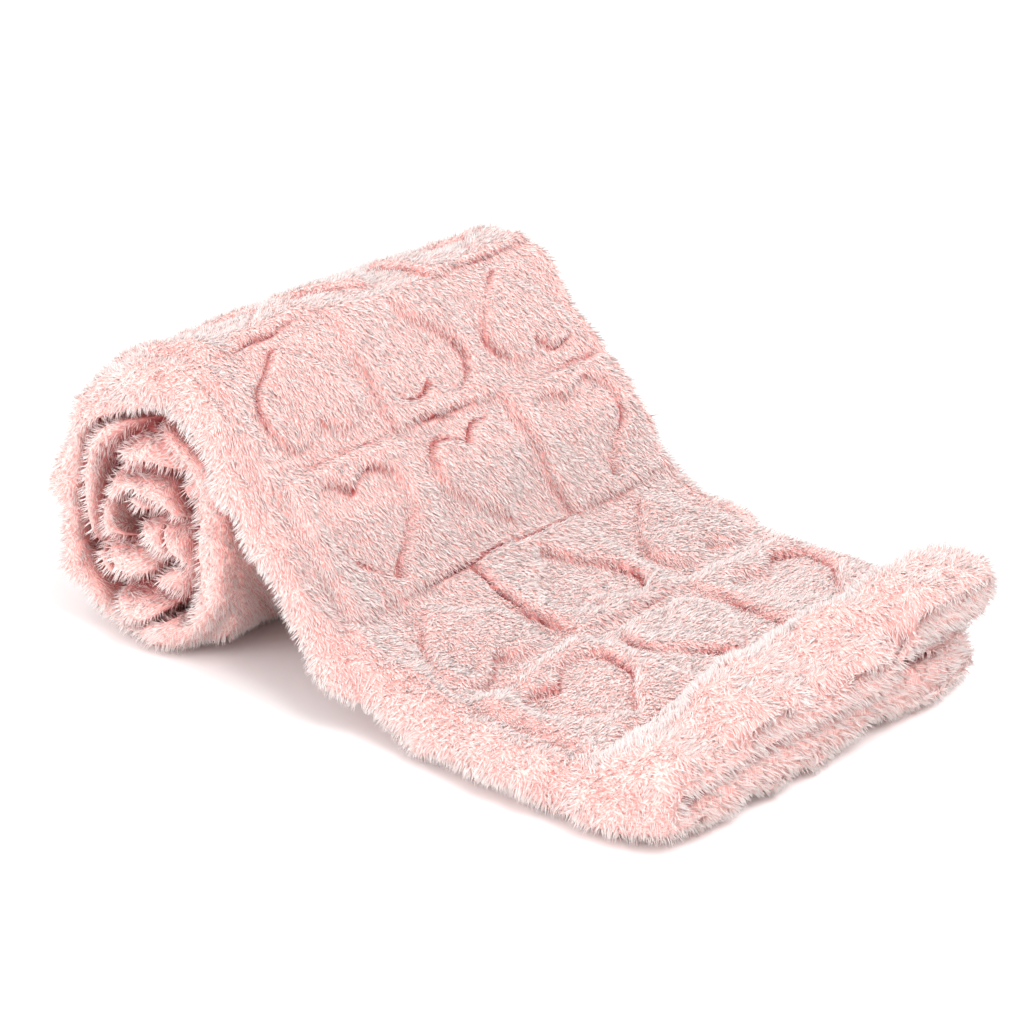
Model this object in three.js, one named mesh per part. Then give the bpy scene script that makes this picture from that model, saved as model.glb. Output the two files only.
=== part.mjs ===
import * as THREE from "three";

// A plush baby blanket, folded in thirds along its length and then rolled up from one end, with a
// tail left flat in front of the roll. It is one sheet, so it is one solid: the cloth is followed
// from the lower ply round the near fold, over the top ply, round the far fold and back as the
// middle ply, and that section is carried along the tail, up the slope and round the roll.
// Millimetres. X runs along the strip, the front hems at +X and the roll at -X. Y runs across it,
// the doubled near fold at -Y. Z is up and the floor is at 0.

// The folded strip
const STRIP_WIDTH = 254;
const PLY_GAP = 1.4;
const TURN_GAP = 1.5;
const MIDDLE_STOPS_SHORT = 30;
const LOWER_STOPS_SHORT = 7;
const FOLD_DEPTH = 14;
const LEAST_EDGE = 0.25;
const MIDDLE_FILL = 0.8;

// The near side, where the middle ply thins out and stops and the top ply sinks onto the lower one
const SAG = { tail: 0.75, roll: 0.4, from: -4, to: 62 };

// The middle of the blanket's box on the floor, which is the part's origin
const MIDDLE = { x: 12.2, y: -0.76 };

// The hems at the front end: each is a thicker, rounded band, and the plies end one behind another
const HEM_DEPTH = 62;
const HEM_RISE = 15;
const HEM_ROUND = 14;
const NEAR_HEM = { share: 0.72, from: -107, to: -47 };
const MIDDLE_HEM = { rise: 5, from: 0, to: 70 };
const MIDDLE_SET_BACK = { most: 46, from: 62, to: 5 };
const MIDDLE_END = { from: -46, to: -7 };
const LOWER_SET_BACK = { most: 10, from: 75, to: 125 };
const TOP_OVERHANG = { near: 1, far: 11, from: -90, to: 90 };
const END_SLIDE = 110;
const FRONT_TAPER = { near: 1, far: 8, length: 95 };
const TAIL_BULGE = { near: 5, far: 4 };
const FAR_END_DROP = { share: 0.065, from: 70, to: 150 };
const EDGE_DRIFT = { wide: 1.6, every: 23, less: 1.2, closer: 13 };

// The embossed squares and hearts of the outer face
const ROW_PITCH = 72.5;
const COLUMN_PITCH = 76.5;
const FIRST_ROW = 57;
const FIRST_COLUMN = -110;
const HEART_WIDTH = 52;
const HEART_LENGTH = 50;
const EMBOSS_HEIGHT = 2.8;
const EMBOSS_SLOPE = 6;
const GROOVE_DEPTH = 1.6;
const GROOVE_WIDTH = 5;

// The strip's outer and inner skin from the front end to the crown of the roll, with the number
// of steps from each row to the next
const TAIL = [
  { name: "front end", outerX: 206, outerZ: 38, innerX: 206, innerZ: 0, steps: 8 },
  { name: "hem line", outerX: 150, outerZ: 38, innerX: 150, innerZ: 0, steps: 3 },
  { name: "flat", outerX: 84, outerZ: 38, innerX: 84, innerZ: 0, steps: 2 },
  { name: "lift", outerX: 44, outerZ: 41, innerX: 40, innerZ: 4, steps: 2 },
  { name: "foot", outerX: 8, outerZ: 53, innerX: -9, innerZ: 27, steps: 2 },
  { name: "slope", outerX: -19, outerZ: 82, innerX: -40, innerZ: 66, steps: 1 },
  { name: "shoulder", outerX: -42, outerZ: 108, innerX: -63, innerZ: 91, steps: 1 },
  { name: "brow", outerX: -61, outerZ: 134, innerX: -82, innerZ: 112, steps: 2 },
  { name: "crown", outerX: -90, outerZ: 162, innerX: -105, innerZ: 127, steps: 2 },
];

// The roll's outer radius at every eighth of a turn, from the top and down its back
const ROLL_CENTRE = { x: -130, z: 64 };
const EIGHTHS = ["top", "topBack", "back", "lowBack", "bottom", "lowFront", "front", "topFront"];
const TURNS = [
  { top: 89, topBack: 65, back: 60, lowBack: 64, bottom: 65.5, lowFront: 67, front: 66, topFront: 66 },
  { top: 58.5, topBack: 41, back: 37, lowBack: 42, bottom: 47, lowFront: 48, front: 37, topFront: 37 },
  { top: 38, topBack: 25, back: 21, lowBack: 25, bottom: 29, lowFront: 30, front: 20, topFront: 20 },
  { top: 19.5, topBack: 10, back: 6.5, lowBack: 8, bottom: 11, lowFront: 11, front: 6, topFront: 5 },
  { top: 4, topBack: 3, back: 3, lowBack: 3, bottom: 3, lowFront: 3, front: 3, topFront: 3 },
];
const ROLL_STEP = 30;
const ROLL_START = 90;
const ROLL_END = 1170;
const TURN_INSET = 3.5;
const OUTSIDE_END = 345;
const EMBOSS_FADE = 40;
const FACETS_OF_DETAIL = 3;

const clamp = (value, low, high) => Math.min(Math.max(value, low), high);

const mix = (a, b, t) => a + (b - a) * t;

function smooth(from, to, value) {
  const t = clamp((value - from) / (to - from), 0, 1);
  return t * t * (3 - 2 * t);
}

// A rounded edge: how much of a ply's thickness is left at a distance from where it ends.
function roundedEdge(distance, reach) {
  const t = clamp(distance / reach, 0, 1);
  return Math.max(LEAST_EDGE, Math.sqrt(1 - (1 - t) * (1 - t)));
}

// The roll's outer radius at an angle in degrees, which keeps growing as the strip winds inwards.
function rollRadius(angle) {
  const place = (angle - ROLL_START) / 45;
  const first = Math.floor(place);
  const t = place - first;
  const at = (index) => {
    const i = clamp(index, 0, TURNS.length * 8 - 1);
    return TURNS[Math.floor(i / 8)][EIGHTHS[i % 8]];
  };
  const [a, b, c, d] = [first - 1, first, first + 1, first + 2].map(at);
  return 0.5 * (2 * b + (c - a) * t + (2 * a - 5 * b + 4 * c - d) * t * t + (3 * b - a - 3 * c + d) * t ** 3);
}

function rollPoint(angle, radius) {
  const turned = THREE.MathUtils.degToRad(angle);
  return new THREE.Vector3(
    ROLL_CENTRE.x + radius * Math.cos(turned),
    0,
    ROLL_CENTRE.z + radius * Math.sin(turned),
  );
}

// Both skins of the strip as curves through the same stations: the rows of TAIL, then the turns.
const stations = TAIL.map((row) => ({
  outer: new THREE.Vector3(row.outerX, 0, row.outerZ),
  inner: new THREE.Vector3(row.innerX, 0, row.innerZ),
  angle: 0,
}));
for (let angle = ROLL_START; angle <= ROLL_END; angle += ROLL_STEP) {
  stations.push({
    outer: rollPoint(angle, rollRadius(angle)),
    inner: rollPoint(angle, rollRadius(angle + 360) + TURN_GAP),
    angle,
  });
}
const LAST = stations.length - 1;
const outerCurve = new THREE.CatmullRomCurve3(stations.map((station) => station.outer));
const innerCurve = new THREE.CatmullRomCurve3(stations.map((station) => station.inner));

// Distance along the outer skin from the front end, sampled finely once.
const LENGTH_SAMPLES = 20;
const lengths = [0];
for (let i = 1; i <= LAST * LENGTH_SAMPLES; i += 1) {
  const here = outerCurve.getPoint(i / (LAST * LENGTH_SAMPLES));
  const before = outerCurve.getPoint((i - 1) / (LAST * LENGTH_SAMPLES));
  lengths.push(lengths[i - 1] + here.distanceTo(before));
}

// The strip at station number u, whole or between two: its skins, its depth, its angle in the
// roll and the distance from the front end.
function stripAt(u) {
  const t = clamp(u / LAST, 0, 1);
  const outer = outerCurve.getPoint(t);
  const inner = innerCurve.getPoint(t);
  outer.z = Math.max(outer.z, 0);
  inner.z = Math.max(inner.z, 0);
  const base = Math.min(Math.floor(u), LAST - 1);
  const place = u * LENGTH_SAMPLES;
  const low = Math.min(Math.floor(place), lengths.length - 2);
  return {
    inner,
    up: outer.clone().sub(inner).normalize(),
    depth: outer.distanceTo(inner),
    angle: mix(stations[base].angle, stations[base + 1].angle, u - base),
    distance: mix(lengths[low], lengths[low + 1], place - low),
  };
}

// The cloth is never quite even: long shallow swells along and across the strip.
const SWELLS = [
  { height: 0.7, along: 31, across: 47, phase: 0 },
  { height: 0.5, along: 19, across: -29, phase: 2 },
];
function swell(distance, y) {
  const heights = SWELLS.map((wave) =>
    wave.height * Math.sin(distance / wave.along + y / wave.across + wave.phase));
  return heights[0] + heights[1];
}

// A heart about its own middle, its tip at -X, as a closed outline.
const HEART_POINTS = 36;
const heart = Array.from({ length: HEART_POINTS }, (_, i) => {
  const t = (i / HEART_POINTS) * Math.PI * 2;
  const along = 13 * Math.cos(t) - 5 * Math.cos(2 * t) - 2 * Math.cos(3 * t) - Math.cos(4 * t) + 2.5;
  const across = 16 * Math.sin(t) ** 3;
  return new THREE.Vector2((along / 29) * HEART_LENGTH, (across / 32) * HEART_WIDTH);
});

// Distance from a point to the heart's outline, negative inside it.
function heartDistance(x, y) {
  let nearest = Infinity;
  let inside = false;
  heart.forEach((a, i) => {
    const b = heart[(i + 1) % HEART_POINTS];
    const dx = b.x - a.x;
    const dy = b.y - a.y;
    const t = clamp(((x - a.x) * dx + (y - a.y) * dy) / (dx * dx + dy * dy), 0, 1);
    nearest = Math.min(nearest, Math.hypot(x - a.x - dx * t, y - a.y - dy * t));
    if (a.y > y !== b.y > y && x < a.x + (dx * (y - a.y)) / dy) inside = !inside;
  });
  return inside ? -nearest : nearest;
}

// The embossing of the outer face: squares stand high and low by turns, and the heart in each
// square is the other way round. A narrow groove runs along every edge.
function emboss(distance, y) {
  const row = (distance - FIRST_ROW) / ROW_PITCH;
  const column = (y - FIRST_COLUMN) / COLUMN_PITCH;
  const rowNumber = Math.floor(row);
  const columnNumber = Math.floor(column);
  const x = (row - rowNumber - 0.5) * ROW_PITCH;
  const across = (column - columnNumber - 0.5) * COLUMN_PITCH;
  const border = Math.min(ROW_PITCH / 2 - Math.abs(x), COLUMN_PITCH / 2 - Math.abs(across));
  const tipBack = Math.abs(rowNumber) % 2 === 1;
  const toHeart = heartDistance(tipBack ? -x : x, across);
  const high = Math.abs(rowNumber + columnNumber) % 2 === 0;
  const inHeart = smooth(EMBOSS_SLOPE / 2, -EMBOSS_SLOPE / 2, toHeart);
  const square = mix(0.5, high ? 1 : 0, smooth(0, EMBOSS_SLOPE / 2, border));
  const level = mix(square, high ? 0 : 1, inHeart);
  const edge = Math.min(border, Math.abs(toHeart));
  return level * EMBOSS_HEIGHT - GROOVE_DEPTH * smooth(GROOVE_WIDTH, 0, edge);
}

// How much of the hem's rise there is at a distance from the ply's own end.
const hemRise = (distance) => smooth(HEM_DEPTH, HEM_DEPTH * 0.3, distance);

// The plies end one behind another. A ply that ends further back is drawn together over END_SLIDE,
// so a distance along it and a distance from the front end are turned into each other here.
const fromFrontEnd = (along, setBack) => along + setBack * (1 - clamp(along / END_SLIDE, 0, 1));
const alongPly = (distance, setBack) =>
  distance > END_SLIDE ? distance : (distance - setBack) / (1 - setBack / END_SLIDE);
const lowerSetBack = (y) => LOWER_SET_BACK.most * smooth(LOWER_SET_BACK.from, LOWER_SET_BACK.to, y);
const middleSetBack = (y) => MIDDLE_SET_BACK.most * smooth(MIDDLE_SET_BACK.from, MIDDLE_SET_BACK.to, y);
const topSetBack = (y) =>
  -mix(TOP_OVERHANG.near, TOP_OVERHANG.far, smooth(TOP_OVERHANG.from, TOP_OVERHANG.to, y));

// How much of the embossing and the swell shows: all of it outside, none where a turn covers it.
const shownAt = (strip) => smooth(OUTSIDE_END, OUTSIDE_END - EMBOSS_FADE, strip.angle);

// The stack of plies at a distance from the front end: where each lies above the inner skin and
// how thick it is. The top ply sinks towards the near side, where the middle ply stops short.
function stackAt(strip, distance, y) {
  const ply = (strip.depth - 2 * PLY_GAP) / 3;
  const hem = HEM_RISE * mix(NEAR_HEM.share, 1, smooth(NEAR_HEM.from, NEAR_HEM.to, y)) * hemRise(distance);
  const along = alongPly(distance, middleSetBack(y));
  const stop = -STRIP_WIDTH / 2 + MIDDLE_STOPS_SHORT;
  const sag = mix(SAG.tail, SAG.roll, smooth(ROLL_START, ROLL_START + 60, strip.angle));
  const beside = mix(1 - sag, 1, smooth(stop + SAG.from, stop + SAG.to, y));
  const present = beside * smooth(MIDDLE_END.from, MIDDLE_END.to, along);
  const lower = ply + hem;
  const middleHem = MIDDLE_HEM.rise * smooth(MIDDLE_HEM.from, MIDDLE_HEM.to, y) * hemRise(along);
  const middle = (ply + middleHem) * present;
  const top = ply + hem + swell(distance, y) * shownAt(strip);
  return {
    lower: { centre: lower / 2, thickness: lower },
    middle: { centre: lower + PLY_GAP + middle / 2, thickness: middle * MIDDLE_FILL },
    top: { centre: lower + 2 * PLY_GAP + middle + top / 2, thickness: top },
  };
}

// The edges of the strip at a station: both draw in at the front end and a little at each turn.
function edgesAt(strip) {
  const front = 1 - smooth(0, FRONT_TAPER.length, strip.distance);
  const turns = Math.max(0, (strip.angle - ROLL_START - 180) / 360);
  const drift =
    EDGE_DRIFT.wide * Math.sin(strip.distance / EDGE_DRIFT.every) +
    EDGE_DRIFT.less * Math.sin(strip.distance / EDGE_DRIFT.closer + 1);
  const inset = TURN_INSET * turns;
  const inTail = smooth(ROLL_START + 60, 0, strip.angle);
  return {
    near: -STRIP_WIDTH / 2 - TAIL_BULGE.near * inTail + FRONT_TAPER.near * front + inset + drift,
    far: STRIP_WIDTH / 2 + TAIL_BULGE.far * inTail - FRONT_TAPER.far * front - inset + drift * 0.6,
  };
}

// A fold between two plies: half a turn about the line midway between them, from one ply to the
// other. Its inner side stays clear of that line.
function foldPoint(start, direction, from, to, t, side) {
  const turned = Math.PI * t;
  const radius = Math.abs(to.centre - from.centre) / 2;
  const half = mix(from.thickness, to.thickness, t) / 2;
  const reach = radius + (side > 0 ? half : -Math.min(half, radius - PLY_GAP / 2));
  return {
    y: start + direction * reach * Math.sin(turned),
    height: (from.centre + to.centre) / 2 + (Math.sign(from.centre - to.centre) * reach) * Math.cos(turned),
  };
}

// A point of the cloth. q counts the stretches of the section: the lower ply from its free far
// edge is 0 to 1, the near fold 1 to 2, the top ply 2 to 3, the far fold 3 to 4 and the middle
// ply 4 to 5. side is 1 on the embossed face and -1 on the plain one.
function clothPoint(u, q, side) {
  const strip = stripAt(u);
  const edges = edgesAt(strip);
  const along = strip.distance;
  const stretch = Math.min(Math.floor(q), 4);
  const t = q - stretch;
  const foldStack = (y, setBack) => stackAt(strip, fromFrontEnd(along, setBack), y);
  const nearFold = edges.near + FOLD_DEPTH;
  const farFold = edges.far - FOLD_DEPTH;
  const nearLower = foldStack(nearFold, lowerSetBack(nearFold)).lower;
  const nearTop = foldStack(nearFold, topSetBack(nearFold)).top;
  const farTop = foldStack(farFold, topSetBack(farFold)).top;
  const farMiddle = foldStack(farFold, middleSetBack(farFold)).middle;
  const nearStart = edges.near + (nearTop.centre - nearLower.centre + nearTop.thickness) / 2;
  const farStart = edges.far - (farTop.centre - farMiddle.centre + farTop.thickness) / 2;
  const ends = Math.min(
    roundedEdge(along, HEM_ROUND),
    roundedEdge(lengths[lengths.length - 1] - along, HEM_ROUND / 2),
  );
  const thin = (ply) => ({ centre: ply.centre, thickness: ply.thickness * ends });
  const flat = (ply, edge, towards) => (towards * side * ply.thickness * edge * ends) / 2;
  let y = 0;
  let height = 0;
  let setBack = 0;
  if (stretch === 0) {
    const free = edges.far - LOWER_STOPS_SHORT;
    y = mix(free, nearStart, t);
    setBack = lowerSetBack(y);
    const { lower } = foldStack(y, setBack);
    height = lower.centre + flat(lower, roundedEdge(free - y, lower.thickness / 2), -1);
  } else if (stretch === 1) {
    setBack = mix(lowerSetBack(nearStart), topSetBack(nearStart), t);
    ({ y, height } = foldPoint(nearStart, -1, thin(nearLower), thin(nearTop), t, side));
  } else if (stretch === 2) {
    y = mix(nearStart, farStart, t);
    setBack = topSetBack(y);
    const { top } = foldStack(y, setBack);
    height = top.centre + flat(top, 1, 1);
    if (side > 0) {
      const margin = smooth(0, 10, Math.min(y - nearStart + 10, farStart - y + 4));
      const pastHem = smooth(FIRST_ROW - 8, FIRST_ROW + 4, along);
      height += emboss(along, y) * shownAt(strip) * margin * pastHem;
    }
  } else if (stretch === 3) {
    setBack = mix(topSetBack(farStart), middleSetBack(farStart), t);
    ({ y, height } = foldPoint(farStart, 1, thin(farTop), thin(farMiddle), t, side));
  } else {
    const free = edges.near + MIDDLE_STOPS_SHORT;
    y = mix(farStart, free, t);
    setBack = middleSetBack(y);
    const { middle } = foldStack(y, setBack);
    height = middle.centre + flat(middle, roundedEdge(y - free, middle.thickness / 2), -1);
  }
  const point = strip.inner.clone().addScaledVector(strip.up, height);
  point.y = y;
  point.x += along - fromFrontEnd(along, setBack);
  const drop = FAR_END_DROP.share * smooth(-STRIP_WIDTH / 2, STRIP_WIDTH / 2, y);
  point.z -= drop * point.z * smooth(FAR_END_DROP.from, FAR_END_DROP.to, point.z);
  point.z = Math.max(point.z, 0);
  return point;
}

// The grid's lines along the strip, closer together where its ends round off.
const rows = [];
const HEM_FRACTIONS = [0, 0.03, 0.09, 0.19, 0.32, 0.46, 0.62, 0.8];
TAIL.forEach((row, i) => {
  for (let k = 0; k < row.steps; k += 1) rows.push(i + (i === 0 ? HEM_FRACTIONS[k] : k / row.steps));
});
for (let i = TAIL.length; i < LAST; i += 1) rows.push(i);
rows.push(LAST - 0.4, LAST - 0.12, LAST);

// The grid's lines across the section, on the embossed face and back on the plain one.
const LOWER_LINES = [0, 0.02, 0.07, 0.36, 0.68];
const NEAR_FOLD_LINES = 5;
const TOP_LINES = 10;
const FAR_FOLD_LINES = 4;
const MIDDLE_LINES = [0, 0.13, 0.27, 0.42, 0.66, 0.88, 0.97, 1];
const crossings = [...LOWER_LINES];
for (let k = 0; k < NEAR_FOLD_LINES; k += 1) crossings.push(1 + k / NEAR_FOLD_LINES);
for (let k = 0; k < TOP_LINES; k += 1) crossings.push(2 + k / TOP_LINES);
for (let k = 0; k < FAR_FOLD_LINES; k += 1) crossings.push(3 + k / FAR_FOLD_LINES);
MIDDLE_LINES.forEach((t) => crossings.push(4 + t));
const COUNT = crossings.length;
const loop = 2 * COUNT;

// Grid places are whole numbers, with FACETS_OF_DETAIL to each line, so that finer and coarser
// cells meet on the same points.
const D = FACETS_OF_DETAIL;
function between(list, place) {
  const i = Math.min(Math.floor(place / D), list.length - 2);
  return mix(list[i], list[i + 1], place / D - i);
}

function gridPoint(row, across) {
  const u = between(rows, row);
  const line = across / D;
  if (line <= COUNT - 1) return clothPoint(u, between(crossings, across), 1);
  if (line < COUNT) return clothPoint(u, 5, 1).lerp(clothPoint(u, 5, -1), line - COUNT + 1);
  if (line <= loop - 1) return clothPoint(u, between(crossings, (loop - 1 - line) * D), -1);
  return clothPoint(u, 0, -1).lerp(clothPoint(u, 0, 1), line - loop + 1);
}

// A cell is detailed where the embossed top ply lies outside.
const firstTop = crossings.indexOf(2);
function isDetailed(row, line) {
  const outside = stripAt(rows[row + 1]).angle < OUTSIDE_END;
  return outside && row >= HEM_FRACTIONS.length && line >= firstTop && line < firstTop + TOP_LINES;
}

// The cells, the points that their corners use, and then the triangles: a cell with a finer
// neighbour is a fan round its middle, so that the surface stays closed.
const cells = [];
for (let row = 0; row < rows.length - 1; row += 1) {
  for (let line = 0; line < loop; line += 1) {
    const parts = isDetailed(row, line) ? D : 1;
    const size = D / parts;
    for (let i = 0; i < parts; i += 1) {
      for (let k = 0; k < parts; k += 1) {
        cells.push({ row: row * D + i * size, across: line * D + k * size, size });
      }
    }
  }
}
const positions = [];
const numbers = new Map();
const keyOf = (row, across) => `${row},${across % (loop * D)}`;
function numberOf(row, across) {
  const key = keyOf(row, across);
  if (!numbers.has(key)) {
    numbers.set(key, positions.length / 3);
    positions.push(...gridPoint(row, across % (loop * D)).toArray());
  }
  return numbers.get(key);
}
for (const cell of cells) {
  for (const [i, k] of [[0, 0], [1, 0], [1, 1], [0, 1]]) {
    numberOf(cell.row + i * cell.size, cell.across + k * cell.size);
  }
}
const used = new Set(numbers.keys());
const triangles = [];
for (const { row, across, size } of cells) {
  const rim = [];
  const walk = (i, k) => {
    if (used.has(keyOf(row + i, across + k))) rim.push(numberOf(row + i, across + k));
  };
  for (let s = 0; s < size; s += 1) walk(s, 0);
  for (let s = 0; s < size; s += 1) walk(size, s);
  for (let s = 0; s < size; s += 1) walk(size - s, size);
  for (let s = 0; s < size; s += 1) walk(0, size - s);
  if (rim.length === 4) {
    triangles.push(rim[0], rim[2], rim[1], rim[0], rim[3], rim[2]);
  } else {
    const middle = numberOf(row + size / 2, across + size / 2);
    rim.forEach((a, i) => triangles.push(a, middle, rim[(i + 1) % rim.length]));
  }
}

// The two ends of the sheet close as narrow ribbons from the embossed face to the plain one.
for (const [row, flip] of [[0, false], [(rows.length - 1) * D, true]]) {
  for (let line = 0; line < COUNT - 1; line += 1) {
    const a = numberOf(row, line * D);
    const b = numberOf(row, (line + 1) * D);
    const c = numberOf(row, (loop - 2 - line) * D);
    const d = numberOf(row, (loop - 1 - line) * D);
    triangles.push(...(flip ? [a, b, c, a, c, d] : [a, c, b, a, d, c]));
  }
}

function plush() {
  return new THREE.MeshStandardMaterial({ color: 0xe8b9b4, roughness: 0.95, metalness: 0 });
}

const geometry = new THREE.BufferGeometry();
geometry.setAttribute("position", new THREE.Float32BufferAttribute(positions, 3));
geometry.setIndex(triangles);
geometry.translate(-MIDDLE.x, -MIDDLE.y, 0);
geometry.computeVertexNormals();

const blanket = new THREE.Group();
const cloth = new THREE.Mesh(geometry, plush());
cloth.name = "blanket";
blanket.add(cloth);

export default blanket;
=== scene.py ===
# %% [markdown]
# # A plush baby blanket, folded in thirds and rolled
#
# The real thing is one soft sheet of deep pile fleece, about 0.76 by 1.02 m. It is folded in
# thirds along its length and rolled up from one end, and a tail of it lies flat in front of the
# roll. Three things make it look like itself: the cloth's path, the squares and hearts that
# stand high and low in the pile, and the pile, whose tips catch the light while the gaps between
# them go deep pink. The lesson takes them in that order.

# %% Tools and frame
import math

import bpy
import numpy as np
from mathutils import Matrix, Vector, noise
from mathutils.bvhtree import BVHTree


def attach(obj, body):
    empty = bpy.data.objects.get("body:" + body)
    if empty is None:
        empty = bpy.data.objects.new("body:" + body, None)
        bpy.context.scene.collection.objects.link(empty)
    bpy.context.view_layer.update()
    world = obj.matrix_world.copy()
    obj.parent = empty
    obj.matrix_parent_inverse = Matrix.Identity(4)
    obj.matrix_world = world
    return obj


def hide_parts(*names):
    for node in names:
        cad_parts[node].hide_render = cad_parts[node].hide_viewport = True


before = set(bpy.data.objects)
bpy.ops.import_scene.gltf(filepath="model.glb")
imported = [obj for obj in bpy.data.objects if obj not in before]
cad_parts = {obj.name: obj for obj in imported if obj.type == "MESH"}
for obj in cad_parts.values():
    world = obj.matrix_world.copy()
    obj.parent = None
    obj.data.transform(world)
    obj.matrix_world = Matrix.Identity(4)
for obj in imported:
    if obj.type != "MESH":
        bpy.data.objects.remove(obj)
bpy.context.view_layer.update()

MM = 0.001

# %% [markdown]
# ## The camera
#
# The photograph looks down on the blanket from its front near corner with a long lens. The
# camera's place comes from points that can be told apart in the picture, such as the corners of
# the squares, so the lens and the distance go together.

# %% Camera
CAMERA_PLACE = (1.1142, -1.27094, 0.8310)
CAMERA_AZIMUTH = 41.45
CAMERA_ELEVATION = 24.23
CAMERA_LENS = 136.05

camera = bpy.data.objects.new("camera", bpy.data.cameras.new("camera"))
camera.data.lens = CAMERA_LENS
camera.data.sensor_width = 36
camera.data.clip_start = 0.1
camera.data.clip_end = 20
camera.location = CAMERA_PLACE
camera.rotation_euler = (math.radians(90 - CAMERA_ELEVATION), 0, math.radians(CAMERA_AZIMUTH))
bpy.context.scene.collection.objects.link(camera)
bpy.context.scene.camera = camera
print("lens", CAMERA_LENS, "mm from", CAMERA_PLACE)

# %% [markdown]
# ## The path of the strip
#
# Folded in thirds, the blanket is a strip 254 mm wide. Seen from its side, the strip is two
# lines: the skin that faces out and the skin that faces in. Both are curves through a short
# table of stations, first along the tail and up the slope, then round the roll, where the
# radius at every eighth of a turn gives the slightly squashed spiral that soft cloth makes.

# %% The strip's stations
STRIP_WIDTH = 254
PLY_GAP = 1.4
TURN_GAP = 1.5
MIDDLE = (12.2, -0.76)

TAIL = [
    ("front end", 206, 38, 206, 0),
    ("hem line", 150, 38, 150, 0),
    ("flat", 84, 38, 84, 0),
    ("lift", 44, 41, 40, 4),
    ("foot", 8, 53, -9, 27),
    ("slope", -19, 82, -40, 66),
    ("shoulder", -42, 108, -63, 91),
    ("brow", -61, 134, -82, 112),
    ("crown", -90, 162, -105, 127),
]
ROLL_CENTRE = (-130, 64)
TURNS = [
    (89, 65, 60, 64, 65.5, 67, 66, 66),
    (58.5, 41, 37, 42, 47, 48, 37, 37),
    (38, 25, 21, 25, 29, 30, 20, 20),
    (19.5, 10, 6.5, 8, 11, 11, 6, 5),
    (4, 3, 3, 3, 3, 3, 3, 3),
]
ROLL_STEP = 30
ROLL_START = 90
ROLL_END = 1170


def mix(a, b, t):
    return a + (b - a) * t


def smooth(start, stop, value):
    t = np.clip((np.asarray(value, float) - start) / (stop - start), 0, 1)
    return t * t * (3 - 2 * t)


def roll_radius(angle):
    radii = np.array(TURNS, float).ravel()
    place = (angle - ROLL_START) / 45
    first = math.floor(place)
    t = place - first
    a, b, c, d = (radii[int(np.clip(first + k, 0, len(radii) - 1))] for k in (-1, 0, 1, 2))
    bend, twist = 2 * a - 5 * b + 4 * c - d, 3 * b - a - 3 * c + d
    return 0.5 * (2 * b + (c - a) * t + bend * t**2 + twist * t**3)


def roll_point(angle, radius):
    turned = math.radians(angle)
    return (ROLL_CENTRE[0] + radius * math.cos(turned), ROLL_CENTRE[1] + radius * math.sin(turned))


outer_stations = [row[1:3] for row in TAIL]
inner_stations = [row[3:5] for row in TAIL]
station_angles = [0.0] * len(TAIL)
for angle in range(ROLL_START, ROLL_END + 1, ROLL_STEP):
    outer_stations.append(roll_point(angle, roll_radius(angle)))
    inner_stations.append(roll_point(angle, roll_radius(angle + 360) + TURN_GAP))
    station_angles.append(float(angle))
print(len(outer_stations), "stations from the front end to the middle of the roll")

# %% [markdown]
# A curve through the stations should pass near them without loops, also where they are close
# together. The centripetal kind of Catmull-Rom spline does that. Both skins are sampled finely
# once, with the distance from the front end, and everything after that reads the samples.

# %% Curves through the stations
SAMPLES = 24


def spline(points):
    points = [np.array(p, float) for p in points]
    ends = [2 * points[0] - points[1], *points, 2 * points[-1] - points[-2]]
    made = []
    for i in range(1, len(ends) - 2):
        p0, p1, p2, p3 = ends[i - 1:i + 3]
        pairs = ((p0, p1), (p1, p2), (p2, p3))
        d0, d1, d2 = (max(np.linalg.norm(b - a) ** 0.5, 1e-4) for a, b in pairs)
        m1 = ((p1 - p0) / d0 - (p2 - p0) / (d0 + d1) + (p2 - p1) / d1) * d1
        m2 = ((p2 - p1) / d1 - (p3 - p1) / (d1 + d2) + (p3 - p2) / d2) * d1
        bend, twist = 3 * (p2 - p1) - 2 * m1 - m2, 2 * (p1 - p2) + m1 + m2
        for k in range(SAMPLES):
            t = k / SAMPLES
            made.append(p1 + m1 * t + bend * t**2 + twist * t**3)
    made.append(points[-1])
    return np.array(made)


outer_skin = spline(outer_stations)
inner_skin = spline(inner_stations)
outer_skin[:, 1] = np.maximum(outer_skin[:, 1], 0)
inner_skin[:, 1] = np.maximum(inner_skin[:, 1], 0)
distances = np.concatenate([[0], np.cumsum(np.linalg.norm(np.diff(outer_skin, axis=0), axis=1))])
angles = np.interp(np.arange(len(distances)) / SAMPLES, range(len(station_angles)), station_angles)
WOUND_LENGTH = distances[-1]
print("wound length of the strip:", round(WOUND_LENGTH), "mm")


def strip_at(distance):
    read = lambda values: np.interp(distance, distances, values)[:, None]
    inner = np.stack([read(inner_skin[:, 0]), read(inner_skin[:, 1])], -1)
    outer = np.stack([read(outer_skin[:, 0]), read(outer_skin[:, 1])], -1)
    depth = np.linalg.norm(outer - inner, axis=-1)
    return {
        "inner": inner,
        "up": (outer - inner) / depth[..., None],
        "depth": depth,
        "angle": read(angles),
        "along": np.asarray(distance, float)[:, None],
    }


# %% [markdown]
# ## Squares and hearts
#
# The pile is cut high and low in squares about 75 mm apart. In every other square the heart
# stands high, and in the rest the heart is sunk and the square stands high. A distance to the
# heart's outline, negative inside, turns the drawing into height: a short slope at the outline
# and a narrow crease along every edge.

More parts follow.
